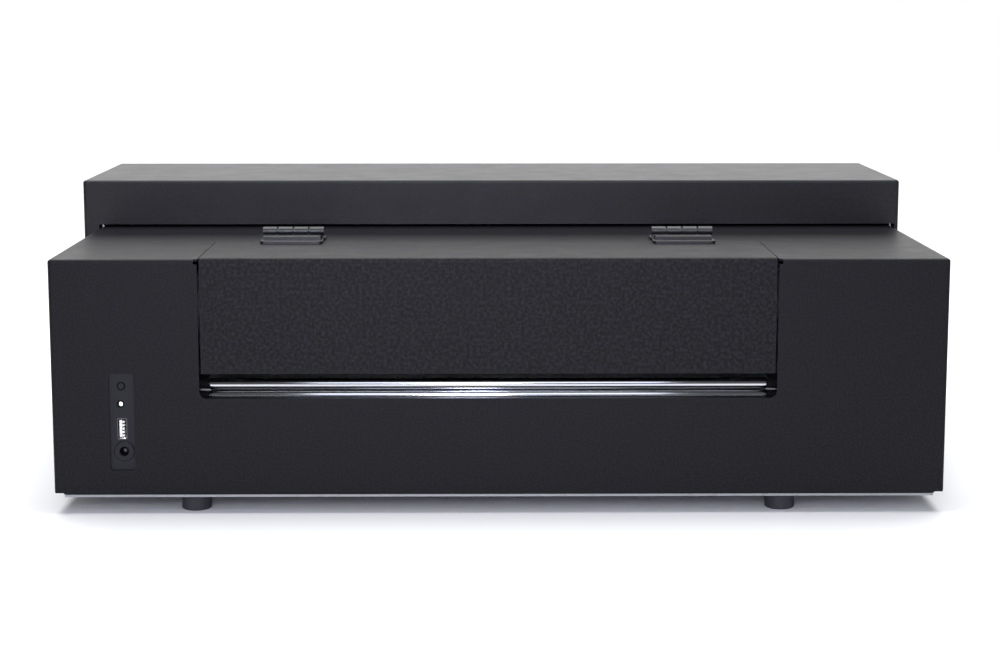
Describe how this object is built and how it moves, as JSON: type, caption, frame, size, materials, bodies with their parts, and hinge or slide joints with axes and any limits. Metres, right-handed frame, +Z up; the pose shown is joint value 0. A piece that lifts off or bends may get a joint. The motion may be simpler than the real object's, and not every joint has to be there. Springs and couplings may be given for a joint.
{
  "type": "flatbed uv printer",
  "caption": "Low black sheet-metal desktop printer with a lift-up hood, a hinged L-shaped rear flap over a roller outlet, rear sockets and a scanning print carriage inside.",
  "frame": {"origin": "on the surface the feet stand on, under the middle of the machine's box", "axes": "+Z up, -Y the front where material goes in, +Y the rear with the outlet and the sockets, X across the width"},
  "size_m": [0.618, 0.377, 0.2076],
  "materials": {
    "case_black": "semi-matte fine-textured powder coat",
    "hinge_black": "satin black",
    "bare_steel": "bare zinc-coated sheet",
    "screw_steel": "plated",
    "foot_rubber": "matte",
    "roller_steel": "ground and polished",
    "bush_plastic": "smooth bearing plastic",
    "bed_aluminium": "fine milled",
    "belt_rubber": "matte",
    "motor_black": "satin",
    "black_plastic": "fine grained",
    "usb_plastic": "smooth",
    "ink_plastic": "smooth",
    "tank_plastic": "milky",
    "lens_glass": "clear",
    "board_green": "solder mask",
    "led_white": "lit"
  },
  "bodies": {
    "chassis": {"base_pan": "bare_steel", "cap_pad": "foot_rubber", "cap_station": "black_plastic", "carriage_belt": "belt_rubber", "carriage_motor": "motor_black", "connector_plate": "black_plastic", "control_board": "board_green", "dc_jack_body": "black_plastic", "dc_jack_pin": "roller_steel", "feed_belt": "belt_rubber", "feed_motor": "motor_black", "foot_front_left": "foot_rubber", "foot_front_right": "foot_rubber", "foot_rear_left": "foot_rubber", "foot_rear_right": "foot_rubber", "foot_screws": "screw_steel", "front_housing": "case_black", "hinge_fixed_leaf_left": "hinge_black", "hinge_fixed_leaf_right": "hinge_black", "hinge_pins": "hinge_black", "hood_pivot_left": "bare_steel", "hood_pivot_right": "bare_steel", "housing_screws": "screw_steel", "io_board": "board_green", "key_board": "board_green", "platen": "bed_aluminium", "rail_front": "roller_steel", "rail_rear": "roller_steel", "rail_support_left": "bare_steel", "rail_support_right": "bare_steel", "rear_housing": "case_black", "roller_bushes": "bush_plastic", "side_frame_left": "motor_black", "side_frame_right": "motor_black", "status_led": "led_white", "usb_shell": "bare_steel", "usb_tongue": "usb_plastic", "waste_tank": "tank_plastic"},
    "hood_lid": {"hood": "case_black"},
    "flap": {"rear_flap": "case_black", "hinge_moving_leaf_left": "hinge_black", "hinge_moving_leaf_right": "hinge_black"},
    "outfeed_lower": {"outfeed_roller_lower": "roller_steel", "outfeed_pulley": "bed_aluminium"},
    "outfeed_upper": {"outfeed_roller_upper": "roller_steel"},
    "infeed_lower": {"infeed_roller_lower": "roller_steel", "infeed_pulley": "bed_aluminium"},
    "infeed_upper": {"infeed_roller_upper": "roller_steel"},
    "feed_shaft": {"feed_motor_pulley": "bed_aluminium"},
    "belt_drive": {"belt_drive_pulley": "bed_aluminium"},
    "belt_idler": {"belt_idler_pulley": "bed_aluminium"},
    "carriage": {"carriage_body": "bed_aluminium", "print_head": "black_plastic", "ink_cartridges": "ink_plastic", "uv_lamp": "bed_aluminium", "lamp_lens": "lens_glass"},
    "fan": {"lamp_fan": "black_plastic"},
    "power_key": {"power_key": "black_plastic"},
    "feed_key": {"feed_key": "black_plastic"},
    "reset_button": {"reset_button": "black_plastic"}
  },
  "joints": [
    {"name": "hood_lift", "type": "hinge", "parent": "chassis", "child": "hood_lid", "pos_m": [0, -0.0215, 0.1785], "axis": [-1, 0, 0], "range_deg": [0, 70]},
    {"name": "flap_lift", "type": "hinge", "parent": "chassis", "child": "flap", "pos_m": [0.0034, 0.083, 0.1802], "axis": [1, 0, 0], "range_deg": [0, 135]},
    {"name": "outfeed_lower_spin", "type": "hinge", "parent": "chassis", "child": "outfeed_lower", "pos_m": [0, 0.1775, 0.07925], "axis": [1, 0, 0], "continuous": true},
    {"name": "outfeed_upper_spin", "type": "hinge", "parent": "chassis", "child": "outfeed_upper", "pos_m": [0, 0.1775, 0.08705], "axis": [1, 0, 0], "continuous": true},
    {"name": "infeed_lower_spin", "type": "hinge", "parent": "chassis", "child": "infeed_lower", "pos_m": [0, -0.1745, 0.07925], "axis": [1, 0, 0], "continuous": true},
    {"name": "infeed_upper_spin", "type": "hinge", "parent": "chassis", "child": "infeed_upper", "pos_m": [0, -0.1745, 0.08705], "axis": [1, 0, 0], "continuous": true},
    {"name": "feed_motor_spin", "type": "hinge", "parent": "chassis", "child": "feed_shaft", "pos_m": [0, 0, 0.0432], "axis": [1, 0, 0], "continuous": true},
    {"name": "carriage_slide", "type": "slide", "parent": "chassis", "child": "carriage", "axis": [1, 0, 0], "range_m": [0, 0.414]},
    {"name": "belt_drive_spin", "type": "hinge", "parent": "chassis", "child": "belt_drive", "pos_m": [0.2708, -0.031, 0.1457], "axis": [0, 1, 0], "continuous": true},
    {"name": "belt_idler_spin", "type": "hinge", "parent": "chassis", "child": "belt_idler", "pos_m": [-0.2792, -0.031, 0.1457], "axis": [0, 1, 0], "continuous": true},
    {"name": "lamp_fan_spin", "type": "hinge", "parent": "carriage", "child": "fan", "pos_m": [-0.1712, -0.1, 0.145], "axis": [0, 0, 1], "continuous": true},
    {"name": "power_key_press", "type": "slide", "parent": "chassis", "child": "power_key", "axis": [0, 1, 0], "range_m": [0, 0.0012], "stiffness_N_per_m": 200, "springref_m": -0.002},
    {"name": "feed_key_press", "type": "slide", "parent": "chassis", "child": "feed_key", "axis": [0, 1, 0], "range_m": [0, 0.0012], "stiffness_N_per_m": 200, "springref_m": -0.002},
    {"name": "reset_press", "type": "slide", "parent": "chassis", "child": "reset_button", "axis": [0, -1, 0], "range_m": [0, 0.0009], "stiffness_N_per_m": 200, "springref_m": -0.002}
  ],
  "couplings": [
    {"joint": "outfeed_upper_spin", "follows": "outfeed_lower_spin", "ratio": -1},
    {"joint": "infeed_lower_spin", "follows": "outfeed_lower_spin", "ratio": 1},
    {"joint": "infeed_upper_spin", "follows": "outfeed_lower_spin", "ratio": -1},
    {"joint": "feed_motor_spin", "follows": "outfeed_lower_spin", "ratio": 1},
    {"joint": "belt_drive_spin", "follows": "carriage_slide", "rad_per_m": -141.84},
    {"joint": "belt_idler_spin", "follows": "carriage_slide", "rad_per_m": -141.84}
  ]
}
